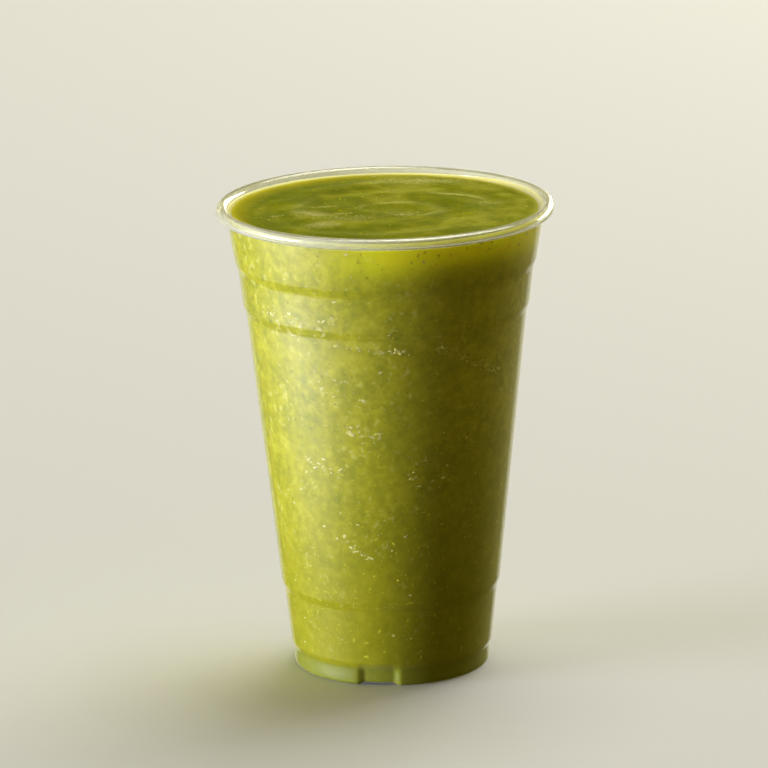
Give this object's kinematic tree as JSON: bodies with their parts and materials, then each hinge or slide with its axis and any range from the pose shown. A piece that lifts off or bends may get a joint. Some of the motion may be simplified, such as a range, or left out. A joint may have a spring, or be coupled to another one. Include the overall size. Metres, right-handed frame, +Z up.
{
  "type": "green smoothie in a clear plastic cup",
  "caption": "Green blended smoothie filling a tapered clear plastic cold cup with a rolled rim, stacking ledges and a notched foot.",
  "frame": {"origin": "centre of the cup's foot, on the surface that it stands on", "axes": "+Z up along the axis of the cup, -Y to the side that faced the viewer, +X to the right"},
  "size_m": [0.098, 0.098, 0.138],
  "materials": {
    "cup": "clear, smooth and glossy",
    "smoothie": "opaque yellow-green blended fruit and leaf, wet and softly glossy, mottled"
  },
  "bodies": {
    "root": {"cup": "cup", "smoothie": "smoothie"}
  },
  "joints": []
}
